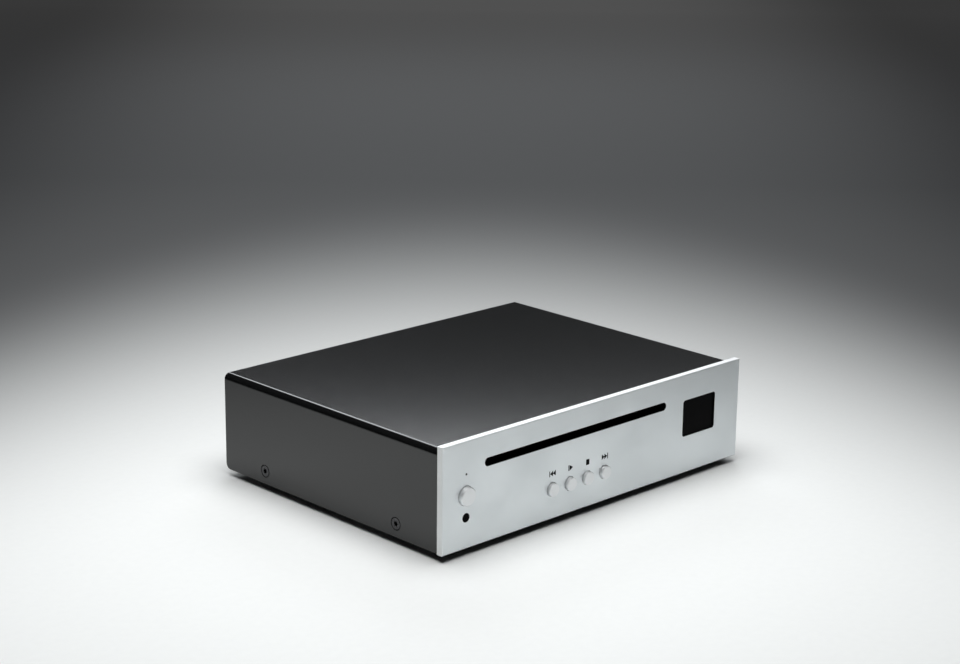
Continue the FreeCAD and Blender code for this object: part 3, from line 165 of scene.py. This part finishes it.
# ---- materials -----------------------------------------------------------------------------
class Look:
    """A material under construction: one Principled shader fed by nodes in object space."""

    def __init__(self, name, metallic, roughness):
        self.material = bpy.data.materials.new(name)
        self.material.use_nodes = True
        self.tree = self.material.node_tree
        self.shader = self.tree.nodes["Principled BSDF"]
        self.shader.inputs["Metallic"].default_value = metallic
        self.shader.inputs["Roughness"].default_value = roughness
        self.place = self.node("ShaderNodeTexCoord")

    def node(self, kind, **settings):
        made = self.tree.nodes.new(kind)
        for key, value in settings.items():
            setattr(made, key, value)
        return made

    def join(self, source, target):
        self.tree.links.new(source, target)

    def calculate(self, operation, *values):
        """Result of an arithmetic node. A value is a number or another node's output."""
        made = self.node("ShaderNodeMath", operation=operation)
        for socket, value in zip(made.inputs, values):
            if isinstance(value, (int, float)):
                socket.default_value = value
            else:
                self.join(value, socket)
        return made.outputs[0]

    def split(self, vector):
        """The X, Y and Z of a vector."""
        parts = self.node("ShaderNodeSeparateXYZ")
        self.join(vector, parts.inputs[0])
        return parts.outputs

    def noise(self, size, detail=3.0, stretch=(1, 1, 1)):
        """Noise whose blobs are about size metres across."""
        scale = self.node("ShaderNodeMapping", vector_type="POINT")
        scale.inputs["Scale"].default_value = stretch
        self.join(self.place.outputs["Object"], scale.inputs["Vector"])
        noise = self.node("ShaderNodeTexNoise")
        noise.inputs["Scale"].default_value = 1.0 / size
        noise.inputs["Detail"].default_value = detail
        self.join(scale.outputs[0], noise.inputs["Vector"])
        return noise.outputs["Fac"]

    def spread(self, value, low, high, from_low=0.3, from_high=0.7, curve="LINEAR"):
        """A value between from_low and from_high stretched to lie between low and high."""
        remap = self.node("ShaderNodeMapRange", interpolation_type=curve)
        remap.inputs["From Min"].default_value = from_low
        remap.inputs["From Max"].default_value = from_high
        remap.inputs["To Min"].default_value = low
        remap.inputs["To Max"].default_value = high
        self.join(value, remap.inputs["Value"])
        return remap.outputs[0]

    def mix_colour(self, factor, first, second):
        mix = self.node("ShaderNodeMix", data_type="RGBA")
        self.join(factor, mix.inputs["Factor"])
        for socket, value in ((mix.inputs["A"], first), (mix.inputs["B"], second)):
            if isinstance(value, tuple):
                socket.default_value = (*value, 1)
            else:
                self.join(value, socket)
        return mix.outputs["Result"]

    def edges(self, radius):
        """0 on flat stretches, rising to 1 on edges rounded over the given radius."""
        round_normal = self.node("ShaderNodeBevel", samples=4)
        round_normal.inputs["Radius"].default_value = radius
        flat = self.node("ShaderNodeNewGeometry")
        dot = self.node("ShaderNodeVectorMath", operation="DOT_PRODUCT")
        self.join(round_normal.outputs[0], dot.inputs[0])
        self.join(flat.outputs["Normal"], dot.inputs[1])
        return self.spread(dot.outputs["Value"], 1.0, 0.0, 0.75, 0.99)

    def bump(self, height, strength, distance):
        bump = self.node("ShaderNodeBump")
        bump.inputs["Strength"].default_value = strength
        bump.inputs["Distance"].default_value = distance
        self.join(height, bump.inputs["Height"])
        last = self.shader.inputs["Normal"].links
        if last:
            self.join(last[0].from_socket, bump.inputs["Normal"])
        self.join(bump.outputs[0], self.shader.inputs["Normal"])


MASK_BLEND = 0.1 * MM


def facing(look, direction, start, end):
    """0 on faces turned away from a direction, rising to 1 on faces turned towards it."""
    flat = look.node("ShaderNodeNewGeometry")
    turned = look.node("ShaderNodeVectorMath", operation="DOT_PRODUCT")
    look.join(flat.outputs["Normal"], turned.inputs[0])
    turned.inputs[1].default_value = direction
    return look.spread(turned.outputs["Value"], 0, 1, start, end)


def outside(look, axis, low, high, inset):
    """1 near the two ends of a span along X, Y or Z, and 0 between them."""
    position = look.split(look.place.outputs["Object"])[axis]
    distance = look.calculate("ABSOLUTE", look.calculate("SUBTRACT", position, (low + high) / 2))
    limit = (high - low) / 2 - inset
    return look.spread(distance, 0, 1, limit - MASK_BLEND, limit)


def colour_where(look, mask, colour):
    """Paints a colour over what the look has so far, where the mask is 1."""
    before = look.shader.inputs["Base Color"].links[0].from_socket
    look.join(look.mix_colour(mask, before, colour), look.shader.inputs["Base Color"])


def surface(name, colour, roughness, metallic=0.0, vary=0.08, patch=0.02, grain=0.0004, relief=0.15,
            stretch=(1, 1, 1), worn=None, edge=0.0004, specular=0.5, uneven=0.12):
    """Solid finish with patchy tone, uneven gloss, a fine grain and edges rubbed to another colour."""
    look = Look(name, metallic, roughness)
    look.shader.inputs["Specular IOR Level"].default_value = specular
    darker = tuple(channel * (1 - vary) for channel in colour)
    lighter = tuple(min(1.0, channel * (1 + vary)) for channel in colour)
    tone = look.mix_colour(look.spread(look.noise(patch, 4.0, stretch), 0, 1), darker, lighter)
    fine = look.noise(grain, 2.0, stretch)
    if worn is not None:
        patches = look.spread(look.noise(patch * 0.3, 5.0), 0.15, 0.8)
        rub = look.calculate("MULTIPLY", look.edges(edge), patches)
        tone = look.mix_colour(rub, tone, worn)
    look.join(tone, look.shader.inputs["Base Color"])
    smooth = roughness * (1 - uneven)
    dull = min(1.0, roughness * (1 + uneven))
    gloss = look.spread(look.noise(patch * 0.5, 5.0, stretch), smooth, dull)
    look.join(gloss, look.shader.inputs["Roughness"])
    look.bump(fine, relief, grain * 0.5)
    return look


OUTLINE_WIDTH = 1.0 * MM
# painted shade: near-black standing for the shade under the panel and inside its openings
PAINTED_SHADE_BLACK = (0.02, 0.02, 0.02)
MILLED = (0.76, 0.77, 0.775)


def panel_finish():
    """Blasted and anodised aluminium with milled outer edges, and painted shade: black on the faces turned
    down and on the walls of the openings.
    """
    look = surface("panel_aluminium", (0.80, 0.835, 0.85), 0.50, metallic=0.92, vary=0.012, patch=0.03,
                   grain=0.00018, relief=0.10, worn=(0.96, 0.965, 0.97), edge=0.0003)
    ends = outside(look, "X", panel_low.x, panel_high.x, OUTLINE_WIDTH)
    top_and_bottom = outside(look, "Z", panel_low.z, panel_high.z, OUTLINE_WIDTH)
    outline = look.calculate("MAXIMUM", ends, top_and_bottom)
    front = facing(look, (0, -1, 0), 0.2, 0.9)
    # painted shade: walls of the openings are black, only the outer edges keep the milled tone
    walls = look.mix_colour(outline, PAINTED_SHADE_BLACK, MILLED)
    blasted = look.shader.inputs["Base Color"].links[0].from_socket
    look.join(look.mix_colour(front, walls, blasted), look.shader.inputs["Base Color"])
    # painted shade: faces turned down are black
    colour_where(look, facing(look, (0, 0, -1), 0.4, 0.8), PAINTED_SHADE_BLACK)
    return look


def button_finish():
    """Turned aluminium, with a finer grain than the panel."""
    return surface("button_aluminium", (0.86, 0.875, 0.885), 0.50, metallic=0.8, vary=0.01, patch=0.004,
                   grain=0.00012, relief=0.08, worn=(0.97, 0.97, 0.97), edge=0.0002)


SPECKLE = 0.7 * MM
# painted shade: black for the dark gap round the heads of the side screws
CONE_SHADE_BLACK = (0.0008, 0.0008, 0.0008)
CONE_MARGIN = 1.0 * MM


def screw_cones(look):
    """1 in the countersinks of the side screws: low down, and slanting to the cover's sides."""
    height = look.split(look.place.outputs["Object"])["Z"]
    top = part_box("cover_screws")[1].z + CONE_MARGIN
    low_enough = look.spread(height, 1, 0, top, top + MASK_BLEND)
    flat = look.node("ShaderNodeNewGeometry")
    sideways = look.calculate("ABSOLUTE", look.split(flat.outputs["Normal"])["X"])
    not_upright = look.spread(sideways, 0, 1, 0.3, 0.5)
    not_flush = look.spread(sideways, 1, 0, 0.90, 0.97)
    return look.calculate("MULTIPLY", low_enough, look.calculate("MULTIPLY", not_upright, not_flush))


def cover_finish():
    """Dark powder coat with a fine orange-peel, and painted shade: black in the cones under the side
    screws.
    """
    look = surface("cover_paint", (0.0040, 0.0042, 0.0044), 0.13, vary=0.12, patch=0.0011, grain=0.00030,
                   relief=0.06, worn=(0.02, 0.02, 0.021), edge=0.0004, specular=0.56, uneven=0.04)
    cells = look.node("ShaderNodeTexVoronoi")
    cells.inputs["Scale"].default_value = 1.0 / SPECKLE
    look.join(look.place.outputs["Object"], cells.inputs["Vector"])
    look.bump(cells.outputs["Distance"], 0.05, 0.0002)
    cones = screw_cones(look)
    # painted shade: the cones round the side screw heads are black and fully rough
    colour_where(look, cones, CONE_SHADE_BLACK)
    gloss = look.shader.inputs["Roughness"].links[0].from_socket
    look.join(look.calculate("MAXIMUM", gloss, cones), look.shader.inputs["Roughness"])
    return look


ZINC_METALLIC = 0.95
# painted shade: black standing for the shade under the player
CHASSIS_SHADE_BLACK = (0.004, 0.004, 0.004)


def sheet_finish():
    """Zinc-plated sheet: faint spangle and rolling lines."""
    return surface("zinc_sheet", (0.50, 0.51, 0.52), 0.38, metallic=ZINC_METALLIC, vary=0.08,
                   patch=0.006, grain=0.0003, relief=0.08, stretch=(1, 0.15, 1), worn=(0.7, 0.7, 0.7))


def chassis_finish():
    """Zinc-plated inside, with painted shade underneath: faces turned down are black and not metallic."""
    look = sheet_finish()
    look.material.name = "zinc_painted_shade_below"
    # painted shade: faces turned down are black and lose their metallic look
    below = facing(look, (0, 0, -1), 0.4, 0.8)
    colour_where(look, below, CHASSIS_SHADE_BLACK)
    look.join(look.spread(below, ZINC_METALLIC, 0.0, 0.0, 1.0), look.shader.inputs["Metallic"])
    return look


def board_finish():
    """Green solder mask over a pattern of copper tracks."""
    look = surface("circuit_board", (0.010, 0.085, 0.035), 0.32, vary=0.15, patch=0.01, grain=0.0005,
                   relief=0.05)
    tracks = look.node("ShaderNodeTexBrick")
    tracks.inputs["Scale"].default_value = 1.0
    tracks.inputs["Brick Width"].default_value = 0.009
    tracks.inputs["Row Height"].default_value = 0.0016
    tracks.inputs["Mortar Size"].default_value = 0.00025
    look.join(look.place.outputs["Object"], tracks.inputs["Vector"])
    colour_where(look, tracks.outputs["Fac"], (0.03, 0.17, 0.07))
    look.bump(tracks.outputs["Fac"], 0.3, 0.00005)
    return look


def window_finish():
    """Near-black filter with a dull gloss."""
    return surface("smoked_window", (0.0022, 0.0022, 0.0025), 0.22, vary=0.2, patch=0.01, grain=0.002,
                   relief=0.01, specular=0.02)


def lens_finish():
    look = surface("lens_glass", (0.25, 0.35, 0.75), 0.04, vary=0.1, patch=0.002, grain=0.001, relief=0.01)
    look.shader.inputs["Transmission Weight"].default_value = 0.6
    return look


def finishes():
    """One look for every material slot in the record, and for the parts that have their own."""
    plain = {
        "dark_screw": dict(colour=(0.055, 0.055, 0.058), roughness=0.35, metallic=0.7, vary=0.15,
                           patch=0.002, worn=(0.14, 0.14, 0.14), edge=0.0002),
        "steel_screw": dict(colour=(0.55, 0.55, 0.54), roughness=0.3, metallic=0.95,
                            worn=(0.75, 0.75, 0.74)),
        "foot_rubber": dict(colour=(0.012, 0.012, 0.012), roughness=0.8, relief=0.4),
        "dark_plastic": dict(colour=(0.018, 0.018, 0.019), roughness=0.5, relief=0.25,
                             worn=(0.06, 0.06, 0.06)),
        "display_glass": dict(colour=(0.012, 0.014, 0.018), roughness=0.12, relief=0.03, grain=0.001),
        "light_pipe": dict(colour=(0.008, 0.008, 0.009), roughness=0.30, relief=0.05, specular=0.2),
        "flock": dict(colour=(0.0015, 0.0015, 0.0015), roughness=0.95, relief=0.9,
                      grain=0.0002, specular=0.02),
        "brass_post": dict(colour=(0.62, 0.42, 0.14), roughness=0.3, metallic=1.0, worn=(0.8, 0.6, 0.3)),
        "capacitor_sleeve": dict(colour=(0.010, 0.012, 0.05), roughness=0.25, relief=0.05),
        "ribbon": dict(colour=(0.62, 0.62, 0.58), roughness=0.4, stretch=(1, 0.05, 0.05), grain=0.0006),
        "plated_brass": dict(colour=(0.85, 0.63, 0.27), roughness=0.22, metallic=1.0,
                             worn=(0.95, 0.8, 0.5)),
        "steel_rod": dict(colour=(0.7, 0.7, 0.7), roughness=0.12, metallic=1.0, stretch=(1, 0.1, 1)),
        "roller_rubber": dict(colour=(0.02, 0.02, 0.02), roughness=0.75, relief=0.3),
        "white_plastic": dict(colour=(0.72, 0.72, 0.70), roughness=0.35, relief=0.05, patch=0.002),
        "red_plastic": dict(colour=(0.50, 0.015, 0.012), roughness=0.35, relief=0.05, patch=0.002),
        "gear_plastic": dict(colour=(0.72, 0.70, 0.63), roughness=0.42, relief=0.1,
                             worn=(0.8, 0.79, 0.74)),
        "motor_can": dict(colour=(0.58, 0.58, 0.57), roughness=0.25, metallic=1.0,
                          stretch=(0.2, 0.2, 1)),
    }
    made = {
        "panel_aluminium": panel_finish(),
        "button_aluminium": button_finish(),
        "cover_paint": cover_finish(),
        "zinc_sheet": sheet_finish(),
        "zinc_painted_shade_below": chassis_finish(),
        "circuit_board": board_finish(),
        "smoked_window": window_finish(),
        "lens_glass": lens_finish(),
    }
    for name, values in plain.items():
        made[name] = surface(name, **values)
    return {name: look.material for name, look in made.items()}


OWN_LOOKS = {"bottom_chassis": "zinc_painted_shade_below"}


def dress_frame(materials):
    """Gives every CAD node its own look if it has one, or else the look of its slot."""
    for row in frame["record"]["subparts"]:
        node = NODES[row["node"]]
        node.data.materials.clear()
        own = OWN_LOOKS.get(row["node"], row["material_slot"])
        node.data.materials.append(materials[own])


# ---- pieces ----------------------------------------------------------------------------------
def piece_from(name, mesh_builder, material, body):
    """New piece whose mesh is filled in by mesh_builder, riding on a body."""
    mesh = bpy.data.meshes.new(name)
    shape = bmesh.new()
    mesh_builder(shape)
    bmesh.ops.recalc_face_normals(shape, faces=shape.faces)
    shape.to_mesh(mesh)
    shape.free()
    piece = bpy.data.objects.new(name, mesh)
    bpy.context.scene.collection.objects.link(piece)
    mesh.materials.append(material)
    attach(piece, body)
    return piece


def join_loops(shape, first, second):
    """Band of faces between two closed loops with the same number of vertices."""
    for index in range(len(first)):
        after = (index + 1) % len(first)
        shape.faces.new((first[index], first[after], second[after], second[index]))


def join_all_loops(shape, loops):
    """Bands between each loop and the next, and from the last back to the first."""
    for first, second in zip(loops, loops[1:] + loops[:1]):
        join_loops(shape, first, second)


def add_prism(shape, outline, y_front, y_back):
    """Closed prism along Y from an outline of (x, z) corners."""
    front = [shape.verts.new((x, y_front, z)) for x, z in outline]
    back = [shape.verts.new((x, y_back, z)) for x, z in outline]
    shape.faces.new(front)
    shape.faces.new(list(reversed(back)))
    join_loops(shape, front, back)


# ---- printed symbols above the transport buttons ----------------------------------------------
PRINT_THICKNESS = 0.02 * MM
SYMBOL_HEIGHT = 2.85 * MM
SYMBOL_RISE = 7.9 * MM


def bar(x, width):
    return [(x, -0.5), (x + width, -0.5), (x + width, 0.5), (x, 0.5)]


def pointer(x, width):
    """Triangle with its point at x + width. A negative width points left."""
    return [(x, -0.5), (x + width, 0.0), (x, 0.5)]


SYMBOLS = {
    "previous_button": [bar(-0.76, 0.19), pointer(0.12, -0.68), pointer(0.76, -0.68)],
    "play_button": [bar(-0.44, 0.17), pointer(-0.17, 0.80)],
    "stop_button": [bar(-0.40, 0.80)],
    "next_button": [pointer(-0.76, 0.68), pointer(-0.12, 0.68), bar(0.57, 0.19)],
}


def make_symbol(button, shapes, ink):
    centre = middle(button)
    height = centre.z + SYMBOL_RISE

    def build(shape):
        for outline in shapes:
            corners = [(centre.x + x * SYMBOL_HEIGHT, height + z * SYMBOL_HEIGHT) for x, z in outline]
            add_prism(shape, corners, FACE_Y - PRINT_THICKNESS, FACE_Y)

    piece_from(button.replace("button", "symbol"), build, ink, "housing")


# ---- felt lips inside the disc slot -------------------------------------------------------------
LIP_SEED = 5
LIP_STEPS = 160
LIP_ROOT = 2.3 * MM
LIP_FREE_EDGE = 0.12 * MM
LIP_RAGGEDNESS = 0.1 * MM
LIP_BULGE = 0.08 * MM
LIP_GAP = 0.1 * MM
LIP_THICKNESS = 0.8 * MM


def make_slot_lip(name, slot_middle, side, length, material):
    """Strip of felt with a ragged free edge, just behind the panel. Side is 1 above, -1 below."""
    random.seed(side + LIP_SEED)
    root = side * LIP_ROOT
    free = side * LIP_FREE_EDGE
    y_front = panel_high.y + LIP_GAP
    y_back = y_front + LIP_THICKNESS

    def build(shape):
        rows = []
        for index in range(LIP_STEPS + 1):
            x = slot_middle.x + length * (index / LIP_STEPS - 0.5)
            ragged = free + side * random.random() * LIP_RAGGEDNESS
            front_bulge = random.random() * LIP_BULGE
            profile = [(y_front, root), (y_front + front_bulge, ragged), (y_back, ragged), (y_back, root)]
            rows.append([shape.verts.new((x, y, slot_middle.z + z)) for y, z in profile])
        for first, second in zip(rows, rows[1:]):
            join_loops(shape, first, second)
        shape.faces.new(rows[0])
        shape.faces.new(list(reversed(rows[-1])))

    piece_from(name, build, material, "housing")


# ---- painted shade: black sheet on the walls of the disc slot ------------------------------------
LINER_CLEARANCE = 0.03 * MM
LINER_THICKNESS = 0.12 * MM
LINER_SETBACK = 0.45 * MM
LINER_STEPS = 16
SLOT_HALF_HEIGHT = 2.1 * MM


def slot_outline(centre, half_length, radius):
    """Corners (x, z) of a long shape with round ends."""
    corners = []
    for end in (1, -1):
        for step in range(LINER_STEPS + 1):
            angle = math.pi * step / LINER_STEPS - math.pi / 2
            corners.append((centre.x + end * (half_length + radius * math.cos(angle)),
                            centre.z + end * radius * math.sin(angle)))
    return corners


def make_slot_shade_liner(material):
    """Thin black sheet on the walls of the disc slot, through the panel's thickness: painted shade for the
    slot's dark inside.
    """
    low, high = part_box("slot_dust_strips")
    centre = (low + high) / 2
    outer = SLOT_HALF_HEIGHT - LINER_CLEARANCE
    inner = outer - LINER_THICKNESS
    half_length = (high.x - low.x) / 2 - outer
    front = FACE_Y + LINER_SETBACK
    back = panel_high.y

    def build(shape):
        loops = []
        for radius, y in ((outer, front), (outer, back), (inner, back), (inner, front)):
            corners = slot_outline(centre, half_length, radius)
            loops.append([shape.verts.new((x, y, z)) for x, z in corners])
        join_all_loops(shape, loops)

    piece_from("slot_shade_liner", build, material, "housing")


# ---- colour rings of the output sockets ------------------------------------------------------------
RING_STEPS = 48
RING_CLEARANCE = 0.15 * MM
RING_REACH = 1.7 * MM
RING_THICKNESS = 0.3 * MM


def circle(shape, centre, radius):
    """Loop of vertices round the Y direction."""
    loop = []
    for step in range(RING_STEPS):
        angle = 2 * math.pi * step / RING_STEPS
        x = centre.x + radius * math.cos(angle)
        z = centre.z + radius * math.sin(angle)
        loop.append(shape.verts.new((x, centre.y, z)))
    return loop


def make_output_ring(name, x, material):
    """Colour ring that lies on the flange of an output socket."""
    low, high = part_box("output_shells")
    shell_radius = (high.z - low.z) / 2
    near = Vector((x, low.y, (low.z + high.z) / 2))
    far = near + Vector((0, RING_THICKNESS, 0))
    inner = shell_radius + RING_CLEARANCE
    outer = shell_radius + RING_REACH

    def build(shape):
        places = ((near, inner), (near, outer), (far, outer), (far, inner))
        join_all_loops(shape, [circle(shape, centre, radius) for centre, radius in places])

    piece_from(name, build, material, "housing")


# ---- build ---------------------------------------------------------------------------------------
make_camera()
make_floor()
make_lights()
looks = finishes()
dress_frame(looks)

ink = surface("printed_ink", (0.002, 0.002, 0.002), 0.6, vary=0.1, patch=0.001, grain=0.0002, relief=0.05,
              specular=0.04).material
for button, shapes in SYMBOLS.items():
    make_symbol(button, shapes, ink)

slot_middle = middle("slot_dust_strips")
slot_low, slot_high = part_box("slot_dust_strips")
for name, side in (("slot_lip_upper", 1), ("slot_lip_lower", -1)):
    make_slot_lip(name, slot_middle, side, slot_high.x - slot_low.x, looks["flock"])
make_slot_shade_liner(looks["flock"])

shells_low, shells_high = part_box("output_shells")
shell_radius = (shells_high.z - shells_low.z) / 2
make_output_ring("left_output_ring", shells_low.x + shell_radius, looks["white_plastic"])
make_output_ring("right_output_ring", shells_high.x - shell_radius, looks["red_plastic"])
